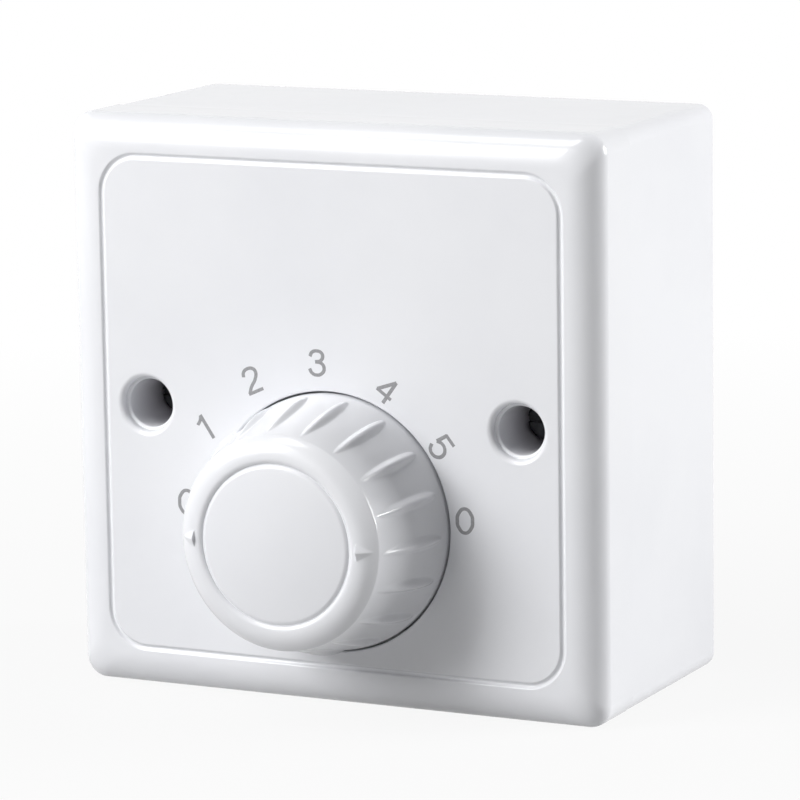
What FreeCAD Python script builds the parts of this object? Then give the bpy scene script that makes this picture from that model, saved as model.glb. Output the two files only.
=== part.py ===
import FreeCAD, Part
import math
import os
from FreeCAD import Vector

# Surface-mounted fan speed controller, millimetres.
# X is to the right, Z is up and Y points into the wall.
# The origin is the middle of the box's back face, so the front face looks along -Y.

# Front plate
plate_width = 86.0
plate_depth = 11.5
plate_wall = 2.4
skirt_wall = 2.2
plate_corner = 3.2
plate_edge = 3.1
lip_wall = 1.2
lip_height = 1.5
lip_seat = 3.0
lip_play = 0.25

# Groove round the face
groove_inset = 6.0
groove_corner = 5.75
groove_depth = 0.45
groove_radius = 0.35

# Surface box
box_step = 0.3
box_depth = 32.0
box_wall = 2.2
back_wall = 2.4
box_corner = 2.3
box_inner_corner = 1.2
box_back_edge = 0.7
cable_radius = 10.0
wall_hole_radius = 2.25
wall_hole_spacing = 60.3
post_radius = 5.0
post_web = 2.0

# Plate screws in their wells
screw_spacing = 60.3
well_radius = 4.0
well_wall = 2.0
well_depth = 12.0
well_floor = 2.0
well_mouth = 0.75
well_ledge = 0.15
well_ledge_depth = 1.3
screw_radius = 1.75
screw_head_radius = 3.1
screw_head = 1.9
screw_length = 14.0
screw_play = 0.2
slot_width = 0.9
slot_depth = 0.9
head_edge = 0.65
insert_radius = 2.9
insert_length = 8.0
thread_play = 0.04

# Knob
knob_drop = 15.4
knob_radius = 19.2
knob_top_radius = 15.8
knob_height = 15.9
knob_sink = 2.2
knob_land = 0.4
knob_wall = 2.0
knob_roof = 2.3
collar_edge = 0.3
collar_inner_radius = 12.35
collar_rise = 1.7
cap_radius = 11.8
cap_gap = 0.05
cap_seat = 15.2
cap_height = 17.6
cap_dome = 0.8
cap_edge = 0.9
spigot_radius = 8.2
spigot_wall = 1.2
spigot_length = 1.2
spigot_play = 0.1
rib_count = 18
rib_start = 0.65
rib_end = 15.2
rib_height = 1.0
rib_sink = 0.35
hub_radius = 5.6
hub_start = 2.8
web_count = 4
web_wall = 1.2
web_start = 7.0
pointer_inset = 0.65
pointer_width = 2.7
pointer_length = 2.4
pointer_rise = 0.7
recess_play = 0.35
recess_depth = 3.0
recess_floor = 2.0
recess_wall = 1.8
recess_edge = 0.3

# Shaft, bush and their fastening
shaft_radius = 3.0
shaft_flat = 1.5
shaft_tip = 12.9
shaft_chamfer = 0.5
running_play = 0.05
pilot_radius = 2.0
bush_radius = 5.0
bush_rise = 1.5
bush_play = 0.15
washer_radius = 8.0
washer_thickness = 0.6
nut_across = 14.0
nut_height = 2.2
clip_gap = 0.2
clip_thickness = 0.6
clip_radius = 4.8
clip_groove = 0.5
clip_mouth = 4.2
leaf_thickness = 0.4
leaf_width = 3.6
leaf_play = 0.03
leaf_foot = 1.6

# Rotary switch
frame_thickness = 1.5
peg_radius = 1.2
peg_place = 11.0
peg_play = 0.15
case_radius = 15.0
case_wall = 1.5
case_depth = 7.1
ear_reach = 2.2
ear_radius = 2.8
rivet_radius = 1.3
rivet_head_radius = 2.2
rivet_head = 0.8
fit_play = 0.03
step_angle = 30.0
speeds = 5
wheel_radius = 9.0
wheel_gap = 0.15
wheel_thickness = 2.35
notch_radius = 1.6
notch_place = 10.0
stop_radius = 0.7
stop_place = 7.0
stop_play = 0.15
stop_height = 1.0
spring_thickness = 0.4
spring_width = 1.9
spring_margin = 0.44
spring_play = 0.08
ledge_length = 1.6
rotor_radius = 9.5
rotor_gap = 0.5
rotor_thickness = 1.8
wiper_thickness = 0.4
wiper_width = 3.4
wiper_flat = 4.6
wiper_tip = 1.6
wiper_play = 0.05
base_thickness = 2.0
contact_margin = 0.55
contact_radius = 1.7
contact_height = 0.6
contact_pin = 1.0
lug_width = 2.4
lug_thickness = 0.6
lug_length = 6.4
track_gap = 0.75
track_width = 2.6

# Tapped choke behind the upper half of the plate
choke_rise = 20.0
core_leg = 10.0
core_window = 6.5
core_side = 5.0
core_window_length = 19.0
core_stack = 14.0
core_gap = 2.0
pad_width = 3.0
bobbin_wall = 1.0
bobbin_play = 0.15
flange_play = 0.3
coil_build = 6.0
coil_margin = 0.6
rail_height = 2.0
rail_depth = 4.0
rail_end = 16.0
tag_radius = 0.5
tag_length = 2.5
end_tag_place = 14.5
strap_thickness = 1.0
strap_play = 0.1
strap_foot = 9.0
foot_seat = 3.0
foot_boss_radius = 3.2
foot_screw_radius = 1.4
foot_screw_length = 5.0
small_head_radius = 2.6
small_head = 1.6

# Terminal block
block_side = 12.85
block_foot = 12.5
block_pitch = 8.0
block_length = 16.0
block_depth = 12.0
block_seat = 3.1
block_skin = 1.2
block_boss_radius = 3.0
tube_radius = 2.2
tube_bore = 1.4
tube_place = 5.5
tube_margin = 0.6
clamp_radius = 1.1
clamp_spacing = 7.0
clamp_sink = 0.5
clamp_slot = 0.5
block_screw_radius = 1.3
block_screw_bite = 2.4

# Leads
lead_radius = 0.8
tap_bend = 2.4
line_bend = 4.0
line_reach = 6.5
line_level = 13.5
line_corner_x = 20.0

# Planes worked out from the sizes above
AXIS = Vector(0, 1, 0)
same_place = 1e-6
rim_y = -box_depth
face_y = rim_y - plate_depth
plate_half = plate_width / 2
box_half = plate_half - box_step
screw_x = screw_spacing / 2
block_x = plate_half - block_side
block_z = block_foot - plate_half
knob_z = -knob_drop
recess_radius = knob_radius + recess_play
ear_place = case_radius + ear_reach
contact_place = case_radius - case_wall - contact_radius - contact_margin
common_outer = contact_place - contact_radius - track_gap
common_inner = common_outer - track_width
spring_reach = case_radius - case_wall - spring_margin
spring_half = math.sqrt(spring_reach ** 2 - (notch_place + spring_thickness) ** 2)
seat_y = face_y + recess_depth + recess_floor
case_y = seat_y + frame_thickness
base_y = case_y + case_depth
lug_y = base_y + base_thickness
post_y = face_y + well_depth + well_floor
wheel_y = case_y + wheel_gap
rotor_y = wheel_y + wheel_thickness + rotor_gap
wiper_y = rotor_y + rotor_thickness
contact_y = base_y - contact_height
core_y = face_y + plate_wall + core_gap
core_half = core_leg / 2 + core_window + core_side
core_length = core_window_length + 2 * core_side
coil_half = core_stack / 2 + coil_build
foot_y = face_y + plate_wall + foot_seat
foot_x = core_half + strap_play + strap_thickness + strap_foot / 2
block_y = face_y + plate_wall + block_seat
block_half = block_pitch / 2 + tube_radius + block_skin


def above(height):
    """Y of a point that stands out from the face by this height."""
    return face_y - height


def slab(half_x, half_z, corner, y0, y1):
    """Rounded rectangle about the Y axis, from y0 to y1."""
    block = Part.makeBox(2 * half_x, y1 - y0, 2 * half_z, Vector(-half_x, y0, -half_z))
    long_edges = [e for e in block.Edges if abs(e.tangentAt(e.FirstParameter).y) > 0.5]
    return block.makeFillet(corner, long_edges)


def box(x0, x1, y0, y1, z0, z1):
    return Part.makeBox(x1 - x0, y1 - y0, z1 - z0, Vector(x0, y0, z0))


def disc(radius, y0, y1, x=0.0, z=0.0):
    return Part.makeCylinder(radius, y1 - y0, Vector(x, y0, z), AXIS)


def ring(outer, inner, y0, y1, x=0.0, z=0.0):
    return disc(outer, y0, y1, x, z).cut(disc(inner, y0, y1, x, z))


def face_of(start, steps):
    """Face in the XY plane. A step is an end point, or a point on an arc and the arc's end point."""
    edges = []
    last = Vector(*start)
    for step in list(steps) + [start]:
        if isinstance(step[0], tuple):
            end = Vector(*step[1])
            edges.append(Part.Arc(last, Vector(*step[0]), end).toShape())
        else:
            end = Vector(*step)
            edges.append(Part.makeLine(last, end))
        last = end
    return Part.Face(Part.Wire(edges))


def turned(start, steps, x=0.0, z=0.0):
    """Profile of radius and Y, turned about the line along Y through x and z."""
    solid = face_of(start, steps).revolve(Vector(0, 0, 0), AXIS, 360)
    solid.translate(Vector(x, 0, z))
    return solid


def on_knob(shape):
    """Move a shape from the Y axis to the knob's axis."""
    moved = shape.copy()
    moved.translate(Vector(0, 0, knob_z))
    return moved


def spun(shape, angle):
    """Copy of a shape, turned about the Y axis from +X towards +Z."""
    copy = shape.copy()
    copy.rotate(Vector(0, 0, 0), AXIS, -angle)
    return copy


def polar(radius, angle):
    """X and Z of a point round the knob's axis, from +X towards +Z."""
    turn = math.radians(angle)
    return radius * math.cos(turn), knob_z + radius * math.sin(turn)


def arc_middle(centre, radius, angle):
    turn = math.radians(angle)
    return centre[0] + radius * math.cos(turn), centre[1] + radius * math.sin(turn)


def save(node, shape):
    clean = shape.removeSplitter()
    assert clean.isValid(), node
    clean.exportStep("parts/" + node + ".step")


def groove_cutter():
    """Soft groove: two rounded lips that run into a round bottom, along a rounded square."""
    reach = 2 * groove_radius
    half = math.sqrt(reach ** 2 - (reach - groove_depth) ** 2)
    turn = math.degrees(math.asin(half / reach))
    lip = (half, groove_radius)
    bottom = (0.0, groove_depth - groove_radius)
    join = (half / 2, groove_depth / 2)
    lip_middle = arc_middle(lip, groove_radius, 270 - turn / 2)
    top = -groove_depth

    def place(point):
        return point[0], face_y + point[1]

    def mirror(point):
        return -point[0], face_y + point[1]

    bottom_middle = (0.0, bottom[1] + groove_radius)
    profile = face_of(place((half, top)), [
        place((half, 0.0)),
        (place(lip_middle), place(join)),
        (place(bottom_middle), mirror(join)),
        (mirror(lip_middle), mirror((half, 0.0))),
        mirror((half, top)),
    ])
    middle = plate_half - groove_inset
    straight = 2 * (middle - groove_corner)
    side = profile.copy()
    side.translate(Vector(middle, 0, -straight / 2))
    side = side.extrude(Vector(0, 0, straight))
    corner = profile.copy()
    corner.translate(Vector(groove_corner, 0, 0))
    corner = corner.revolve(Vector(0, 0, 0), AXIS, -90)
    corner.translate(Vector(straight / 2, 0, straight / 2))
    pieces = [spun(piece, 90 * quarter) for quarter in range(4) for piece in (side, corner)]
    return pieces[0].multiFuse(pieces[1:])


def well_cutter(x):
    """Screw well with a rounded mouth, a narrow ledge and a deep bore."""
    step = well_radius + well_ledge
    mouth = step + well_mouth
    centre = (mouth, face_y + well_mouth)
    ledge_y = face_y + well_ledge_depth
    return turned((0.0, face_y), [
        (mouth, face_y),
        (arc_middle(centre, well_mouth, 225), (step, face_y + well_mouth)),
        (step, ledge_y),
        (well_radius, ledge_y),
        (well_radius, face_y + well_depth),
        (0.0, face_y + well_depth),
    ], x)


def recess_cutter():
    """Round recess for the knob, with a small rounding at the face."""
    mouth = recess_radius + recess_edge
    centre = (mouth, face_y + recess_edge)
    floor_y = face_y + recess_depth
    return on_knob(turned((0.0, face_y), [
        (mouth, face_y),
        (arc_middle(centre, recess_edge, 225), (recess_radius, face_y + recess_edge)),
        (recess_radius, floor_y),
        (0.0, floor_y),
    ]))


def front_plate():
    """Moulded cover: rounded shell, locating lip, screw wells, knob recess and bosses for what it carries."""
    shell = slab(plate_half, plate_half, plate_corner, face_y, rim_y)
    front = [e for e in shell.Edges if abs(e.BoundBox.YMax - face_y) < same_place]
    shell = shell.makeFillet(plate_edge, front)
    inner = plate_half - skirt_wall
    inside_y = face_y + plate_wall
    shell = shell.cut(slab(inner, inner, plate_corner - skirt_wall, inside_y, rim_y))
    lip_out = box_half - box_wall - lip_play
    lip_in = lip_out - lip_wall
    rim = slab(inner, inner, plate_corner - skirt_wall, rim_y - lip_seat, rim_y)
    rim = rim.fuse(slab(lip_out, lip_out, box_inner_corner, rim_y, rim_y + lip_height))
    rim = rim.cut(slab(lip_in, lip_in, box_inner_corner, rim_y - lip_seat, rim_y + lip_height))
    solids = [rim, on_knob(disc(recess_radius + recess_wall, inside_y, seat_y))]
    for x in (-screw_x, screw_x):
        solids.append(disc(well_radius + well_wall, inside_y, post_y, x))
    for x in (-foot_x, foot_x):
        solids.append(disc(foot_boss_radius, inside_y, foot_y, x, choke_rise))
    pad_x = core_half - core_side
    stack_low = choke_rise - core_stack / 2
    stack_high = stack_low + core_stack
    for x in (-pad_x, pad_x):
        solids.append(box(x - pad_width / 2, x + pad_width / 2, inside_y, core_y, stack_low, stack_high))
    solids.append(disc(block_boss_radius, inside_y, block_y, block_x, block_z))
    plate = shell.multiFuse(solids)
    cuts = [groove_cutter(), recess_cutter()]
    cuts.append(on_knob(disc(bush_radius + bush_play, face_y, seat_y)))
    cuts.append(on_knob(disc(peg_radius + peg_play, face_y, seat_y, 0.0, -peg_place)))
    for x in (-screw_x, screw_x):
        cuts.append(well_cutter(x))
        cuts.append(disc(screw_radius + screw_play, face_y, post_y, x))
    for x in (-foot_x, foot_x):
        cuts.append(disc(foot_screw_radius + thread_play, inside_y, foot_y, x, choke_rise))
    cuts.append(disc(block_screw_radius + thread_play, block_y - block_screw_bite, block_y, block_x, block_z))
    return plate.cut(cuts)


def surface_box():
    """Open-fronted wall box with two webbed screw posts, a cable entry and two fixing holes in its back."""
    inner = box_half - box_wall
    shell = slab(box_half, box_half, box_corner, rim_y, 0.0)
    shell = shell.makeFillet(box_back_edge, [e for e in shell.Edges if abs(e.BoundBox.YMin) < same_place])
    shell = shell.cut(slab(inner, inner, box_inner_corner, rim_y, -back_wall))
    solids = []
    for side in (-1, 1):
        x = side * screw_x
        solids.append(disc(post_radius, post_y, -back_wall, x))
        web = box(screw_x, box_half - box_wall / 2, post_y, -back_wall, -post_web / 2, post_web / 2)
        solids.append(spun(web, 0 if side > 0 else 180))
    shell = shell.multiFuse(solids)
    cuts = [disc(cable_radius, -back_wall, 0.0)]
    for z in (-wall_hole_spacing / 2, wall_hole_spacing / 2):
        cuts.append(disc(wall_hole_radius, -back_wall, 0.0, 0.0, z))
    bore_y = face_y + well_depth + screw_length + screw_play
    for x in (-screw_x, screw_x):
        cuts.append(disc(insert_radius + thread_play, post_y, post_y + insert_length, x))
        cuts.append(disc(screw_radius + screw_play, post_y, bore_y, x))
    return shell.cut(cuts)


def slotted_screw(x, z, seat, radius, length, head_radius, head):
    """Screw that points into the wall, its slotted pan head in front of the seat."""
    shank = disc(radius, seat, seat + length, x, z)
    pan = disc(head_radius, seat - head, seat, x, z)
    rim = [e for e in pan.Edges if abs(e.BoundBox.YMax - (seat - head)) < same_place]
    pan = pan.makeFillet(head_edge, rim)
    slot = box(x - head_radius, x + head_radius, seat - head, seat - head + slot_depth,
               z - slot_width / 2, z + slot_width / 2)
    return pan.fuse(shank).cut(slot)


def rear_screw(x, z, seat, radius, length, head_radius, head):
    """The same screw driven from inside the box, its point towards the face."""
    screw = slotted_screw(0.0, 0.0, 0.0, radius, length, head_radius, head)
    screw.rotate(Vector(0, 0, 0), Vector(0, 0, 1), 180)
    screw.translate(Vector(x, seat, z))
    return screw


def plate_screws():
    seat = face_y + well_depth
    return Part.makeCompound([
        slotted_screw(x, 0.0, seat, screw_radius, screw_length, screw_head_radius, screw_head)
        for x in (-screw_x, screw_x)
    ])


def post_inserts():
    inner = screw_radius + thread_play
    return Part.makeCompound([
        ring(insert_radius, inner, post_y, post_y + insert_length, x) for x in (-screw_x, screw_x)
    ])


def skirt_radius(height):
    """Radius of the knob's conical skirt at a height above the face."""
    slope = (knob_radius - knob_top_radius) / (knob_height - knob_land)
    return knob_radius - slope * (height - knob_land)


def collar_round():
    """Radius of the collar's rounded front, and how far it has leaned over where it meets the skirt."""
    reach = knob_top_radius - collar_inner_radius
    lean = 2 * math.atan(collar_rise / reach)
    return reach / math.sin(lean), math.degrees(lean)


def collar_level(radius):
    """Height of the collar's rounded front at a radius."""
    bend = collar_round()[0]
    fall = bend - math.sqrt(bend ** 2 - (radius - collar_inner_radius) ** 2)
    return knob_height + collar_rise - fall


def knob_blank():
    """Turned form of the knob: skirt, rounded collar, seat for the cap and the hollow inside."""
    roof = cap_seat - knob_roof
    pocket = cap_radius + cap_gap
    crest = above(knob_height + collar_rise)
    crest_edge = collar_inner_radius - pocket
    bend, lean = collar_round()
    collar_middle = arc_middle((collar_inner_radius, crest + bend), bend, 270 + lean / 2)
    crest_centre = (collar_inner_radius, crest + crest_edge)
    blank = turned((0.0, above(roof)), [
        (skirt_radius(roof) - knob_wall, above(roof)),
        (knob_radius - knob_wall, above(-knob_sink)),
        (knob_radius, above(-knob_sink)),
        (knob_radius, above(knob_land)),
        (knob_top_radius, above(knob_height)),
        (collar_middle, (collar_inner_radius, crest)),
        (arc_middle(crest_centre, crest_edge, 225), (pocket, crest + crest_edge)),
        (pocket, above(cap_seat)),
        (0.0, above(cap_seat)),
    ])
    level = above(knob_height)
    rings = [e for e in blank.Edges if e.BoundBox.YLength < same_place]
    return blank.makeFillet(collar_edge, [e for e in rings if abs(e.BoundBox.YMin - level) < same_place])


def knob_rib():
    """Spindle-shaped grip rib that rises from the skirt and runs out at both ends."""
    foot = Vector(skirt_radius(rib_start) - rib_sink, above(rib_start), 0)
    tip = Vector(skirt_radius(rib_end) - rib_sink, above(rib_end), 0)
    along = tip - foot
    outward = Vector(-along.y, along.x, 0).normalize() * (rib_height + rib_sink)
    if outward.x < 0:
        outward = outward * -1
    top = (foot + tip) * 0.5 + outward
    arc = Part.Arc(foot, top, tip).toShape()
    segment = Part.Face(Part.Wire([arc, Part.makeLine(tip, foot)]))
    return segment.revolve(foot, along, 360)


def knob_pointer():
    """Raised wedge on the collar with its ridge along the radius, highest beside the cap."""
    near = collar_inner_radius + pointer_inset
    far = near + pointer_length
    level = collar_level(near)
    sunk = above(collar_level(far) - pointer_rise)
    left = Vector(near, above(level), -pointer_width / 2)
    right = Vector(near, above(level), pointer_width / 2)
    ridge = Vector(near, above(level + pointer_rise), 0)
    tip = Vector(far, above(collar_level(far)), 0)
    low_left = Vector(near, sunk, -pointer_width / 2)
    low_right = Vector(near, sunk, pointer_width / 2)
    low_tip = Vector(far, sunk, 0)
    faces = [
        (left, right, ridge), (left, ridge, tip), (right, tip, ridge),
        (left, low_left, low_right, right), (left, tip, low_tip, low_left),
        (right, low_right, low_tip, tip), (low_left, low_tip, low_right),
    ]
    shell = Part.Shell([Part.Face(Part.makePolygon(list(points) + [points[0]])) for points in faces])
    return Part.Solid(shell)


def d_bar(radius, flat, y0, y1):
    """Round bar about the Y axis with a flat on its +Z side."""
    return disc(radius, y0, y1).common(box(-radius, radius, y0, y1, -radius, flat))


def knob():
    roof = cap_seat - knob_roof
    web_reach = skirt_radius(roof) - knob_wall / 2
    solids = [disc(hub_radius, above(roof), above(hub_start))]
    for step in range(web_count):
        web = box(0.0, web_reach, above(roof), above(web_start), -web_wall / 2, web_wall / 2)
        solids.append(spun(web, (step + 0.5) * 360 / web_count))
    solids += [spun(knob_rib(), step * 360 / rib_count) for step in range(rib_count)]
    solids += [spun(knob_pointer(), angle) for angle in (0, 180)]
    body = knob_blank().multiFuse(solids)
    flat = shaft_flat + leaf_thickness + 2 * leaf_play
    bore = d_bar(shaft_radius + fit_play, flat, above(shaft_tip + clip_gap), above(hub_start))
    spigot = ring(spigot_radius + spigot_play, spigot_radius - spigot_wall - spigot_play,
                  above(cap_seat), above(cap_seat - spigot_length - spigot_play))
    return on_knob(body.cut([bore, spigot]))


def knob_cap():
    """Disc with a slightly domed front, a rounded edge and a ring-shaped spigot behind."""
    edge_y = above(cap_height)
    corner = (cap_radius - cap_edge, edge_y + cap_edge)
    spread = (corner[0] ** 2 + cap_dome ** 2) / (2 * cap_dome)
    lean = math.degrees(math.asin(corner[0] / spread))
    ball = spread + cap_edge
    ball_centre = (0.0, edge_y - cap_dome + ball)
    disc_solid = turned((0.0, above(cap_seat)), [
        (cap_radius, above(cap_seat)),
        (cap_radius, corner[1]),
        (arc_middle(corner, cap_edge, 315 + lean / 2), arc_middle(corner, cap_edge, 270 + lean)),
        (arc_middle(ball_centre, ball, 270 + lean / 2), (0.0, edge_y - cap_dome)),
    ])
    spigot_end = above(cap_seat - spigot_length)
    spigot = ring(spigot_radius, spigot_radius - spigot_wall, above(cap_seat), spigot_end)
    return on_knob(disc_solid.fuse(spigot))


def knob_clip():
    """Leaf spring between the hub and the shaft's flat, with a foot under the hub's end."""
    low = shaft_flat + leaf_play
    high = low + leaf_thickness
    leaf = box(-leaf_width / 2, leaf_width / 2, above(shaft_tip), above(hub_start), low, high)
    foot = box(-leaf_width / 2, leaf_width / 2, above(hub_start), above(hub_start) + leaf_thickness,
               low, high + leaf_foot)
    limit = disc(shaft_radius, above(shaft_tip), above(hub_start))
    return on_knob(leaf.common(limit).fuse(foot))


def bush_nut():
    points = []
    for step in range(7):
        turn = math.radians(60 * step)
        reach = nut_across / math.sqrt(3)
        points.append(Vector(reach * math.cos(turn), 0, reach * math.sin(turn)))
    nut = Part.Face(Part.makePolygon(points)).extrude(Vector(0, nut_height, 0))
    nut.translate(Vector(0, face_y + recess_depth - washer_thickness - nut_height, 0))
    return on_knob(nut.cut(disc(bush_radius + thread_play, face_y - nut_height, seat_y)))


def lock_washer():
    floor_y = face_y + recess_depth
    return on_knob(ring(washer_radius, bush_radius + bush_play, floor_y - washer_thickness, floor_y))


def eared_disc(y0, y1):
    """Round plate of the switch with two ears for its rivets."""
    solid = disc(case_radius, y0, y1)
    for x in (-ear_place, ear_place):
        solid = solid.fuse(disc(ear_radius, y0, y1, x))
        solid = solid.fuse(box(min(0, x), max(0, x), y0, y1, -ear_radius, ear_radius))
    return solid


def rivet_holes(y0, y1):
    return [disc(rivet_radius + fit_play, y0, y1, x) for x in (-ear_place, ear_place)]


def stop_slot():
    """Half-round slot that the index wheel's stop pin runs in."""
    width = stop_radius + stop_play
    slot = ring(stop_place + width, stop_place - width, seat_y, case_y)
    slot = slot.common(box(-case_radius, case_radius, seat_y, case_y, 0.0, case_radius))
    ends = [disc(width, seat_y, case_y, x) for x in (-stop_place, stop_place)]
    return slot.multiFuse(ends)


def sunk_head(x):
    """Countersunk rivet head, flush with the front of the switch frame."""
    return Part.makeCone(rivet_head_radius, rivet_radius, rivet_head, Vector(x, seat_y, 0), AXIS)


def switch_frame():
    plate = eared_disc(seat_y, case_y)
    bush = disc(bush_radius, above(bush_rise), seat_y)
    peg = disc(peg_radius, seat_y - recess_floor, seat_y, 0.0, -peg_place)
    frame = plate.multiFuse([bush, peg])
    cuts = [disc(shaft_radius + running_play, above(bush_rise), case_y), stop_slot()]
    cuts += rivet_holes(seat_y, case_y)
    cuts += [sunk_head(x) for x in (-ear_place, ear_place)]
    return on_knob(frame.cut(cuts))


def switch_shaft():
    """Shaft with a flat for the knob, a flat for wheel and rotor, a clip groove and a rear pilot."""
    tip_y = above(shaft_tip)
    groove_y = above(bush_rise + clip_gap)
    flat_y = above(hub_start) + leaf_thickness
    front = d_bar(shaft_radius, shaft_flat, tip_y, flat_y)
    front_edges = [e for e in front.Edges if abs(e.BoundBox.YMax - tip_y) < same_place]
    front = front.makeChamfer(shaft_chamfer, front_edges)
    middle = disc(shaft_radius, flat_y, case_y)
    rear = d_bar(shaft_radius, shaft_flat, case_y, wiper_y)
    pilot = disc(pilot_radius, wiper_y, lug_y)
    groove = ring(2 * shaft_radius, shaft_radius - clip_groove, groove_y - clip_thickness, groove_y)
    return on_knob(front.multiFuse([middle, rear, pilot]).cut(groove))


def shaft_circlip():
    y1 = above(bush_rise + clip_gap)
    y0 = y1 - clip_thickness
    clip = ring(clip_radius, shaft_radius - clip_groove + fit_play, y0, y1)
    mouth = box(-clip_mouth / 2, clip_mouth / 2, y0, y1, -2 * clip_radius, 0.0)
    return on_knob(clip.cut(mouth))


def index_wheel():
    """Wheel with a notch at every step, a flatted bore and the pin that meets the end stops."""
    rear = wheel_y + wheel_thickness
    wheel = disc(wheel_radius, wheel_y, rear)
    wheel = wheel.fuse(disc(stop_radius, wheel_y - stop_height, wheel_y, -stop_place))
    cuts = [d_bar(shaft_radius + fit_play, shaft_flat + fit_play, wheel_y, rear)]
    for step in range(round(360 / step_angle)):
        cuts.append(spun(disc(notch_radius, wheel_y, rear, notch_place), step * step_angle))
    return on_knob(wheel.cut(cuts))


def spring_level():
    """Height of the leaf's lower face, with its nose just clear of a notch."""
    return -notch_place - spring_thickness


def detent_spring():
    """Leaf with a round nose that lies in the lowest notch of the index wheel."""
    low = spring_level()
    y0 = wheel_y + (wheel_thickness - spring_width) / 2
    y1 = y0 + spring_width
    leaf = box(-spring_half, spring_half, y0, y1, low, low + spring_thickness)
    nose_radius = notch_radius - spring_play
    nose = ring(nose_radius, nose_radius - spring_thickness, y0, y1, 0.0, -notch_place)
    nose = nose.common(box(-nose_radius, nose_radius, y0, y1, low, low + 2 * notch_radius))
    gap = nose_radius - spring_thickness
    leaf = leaf.cut(box(-gap, gap, y0, y1, low, low + spring_thickness))
    return on_knob(leaf.fuse(nose))


def switch_case():
    """Cup of the switch with two ledges that carry the ends of the detent spring."""
    case = eared_disc(case_y, base_y)
    inner = case_radius - case_wall
    case = case.cut(disc(inner, case_y, base_y))
    low = spring_level()
    rear = wheel_y + wheel_thickness
    ledges = [
        box(-spring_half, -spring_half + ledge_length, case_y, rear, -case_radius, low),
        box(spring_half - ledge_length, spring_half, case_y, rear, -case_radius, low),
    ]
    inside = disc(inner + case_wall / 2, case_y, base_y)
    case = case.multiFuse([ledge.common(inside) for ledge in ledges])
    return on_knob(case.cut(rivet_holes(case_y, base_y)))


def rotor():
    body = disc(rotor_radius, rotor_y, wiper_y)
    bore = d_bar(shaft_radius + fit_play, shaft_flat + fit_play, rotor_y, wiper_y)
    return on_knob(body.cut(bore))


def wiper():
    """Bent bronze strip on the rotor: the long arm sweeps the speed contacts, the short arm the ring."""
    tip_y = contact_y - wiper_play
    long_end = contact_place + wiper_tip / 2
    short_end = (common_outer + common_inner) / 2 + wiper_tip / 2
    level = wiper_y + wiper_thickness
    strip = face_of((-wiper_flat, wiper_y), [
        (wiper_flat, wiper_y),
        (short_end - wiper_tip, tip_y - wiper_thickness),
        (short_end, tip_y - wiper_thickness),
        (short_end, tip_y),
        (short_end - wiper_tip, tip_y),
        (wiper_flat, level),
        (-wiper_flat, level),
        (-long_end + wiper_tip, tip_y),
        (-long_end, tip_y),
        (-long_end, tip_y - wiper_thickness),
        (-long_end + wiper_tip, tip_y - wiper_thickness),
    ])
    strip = strip.extrude(Vector(0, 0, wiper_width))
    strip.translate(Vector(0, 0, -wiper_width / 2))
    strip = strip.fuse(disc(wiper_flat, wiper_y, level))
    return on_knob(strip.cut(disc(pilot_radius + fit_play, wiper_y, tip_y)))


def speed_angle(speed):
    """Direction of a speed's contact, from +X towards +Z: the first is one step from the left."""
    return 180 - speed * step_angle


def contact_base():
    base = eared_disc(base_y, lug_y)
    cuts = [disc(pilot_radius + running_play, base_y, lug_y)]
    pin = contact_pin + fit_play
    for speed in range(1, speeds + 1):
        cuts.append(spun(disc(pin, base_y, lug_y, contact_place), speed_angle(speed)))
    cuts.append(disc(pin, base_y, lug_y, 0.0, -(common_outer + common_inner) / 2))
    return on_knob(base.cut(cuts + rivet_holes(base_y, lug_y)))


def pin_and_lug(x, z):
    """Pin through the base and the solder lug behind it."""
    pin = disc(contact_pin, base_y, lug_y, x, z)
    lug = box(x - lug_width / 2, x + lug_width / 2, lug_y, lug_y + lug_length,
              z - lug_thickness / 2, z + lug_thickness / 2)
    return pin.fuse(lug)


def speed_contact(speed):
    x, z = polar(contact_place, speed_angle(speed))
    return disc(contact_radius, contact_y, base_y, x, z).fuse(pin_and_lug(x, z))


def common_contact():
    track = ring(common_outer, common_inner, contact_y, base_y, 0.0, knob_z)
    return track.fuse(pin_and_lug(0.0, knob_z - (common_outer + common_inner) / 2))


def switch_rivets():
    rivets = []
    for x in (-ear_place, ear_place):
        rivet = disc(rivet_radius, seat_y, lug_y, x).fuse(sunk_head(x))
        rivets.append(on_knob(rivet.fuse(disc(rivet_head_radius, lug_y, lug_y + rivet_head, x))))
    return Part.makeCompound(rivets)


def choke_core():
    """Stack of E and I laminations with a leg through the coil and one on each side."""
    low = choke_rise - core_stack / 2
    high = choke_rise + core_stack / 2
    core = box(-core_half, core_half, core_y, core_y + core_length, low, high)
    near = core_leg / 2
    window_y = core_y + core_side
    for x in (-near - core_window, near):
        core = core.cut(box(x, x + core_window, window_y, window_y + core_window_length, low, high))
    return core


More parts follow.
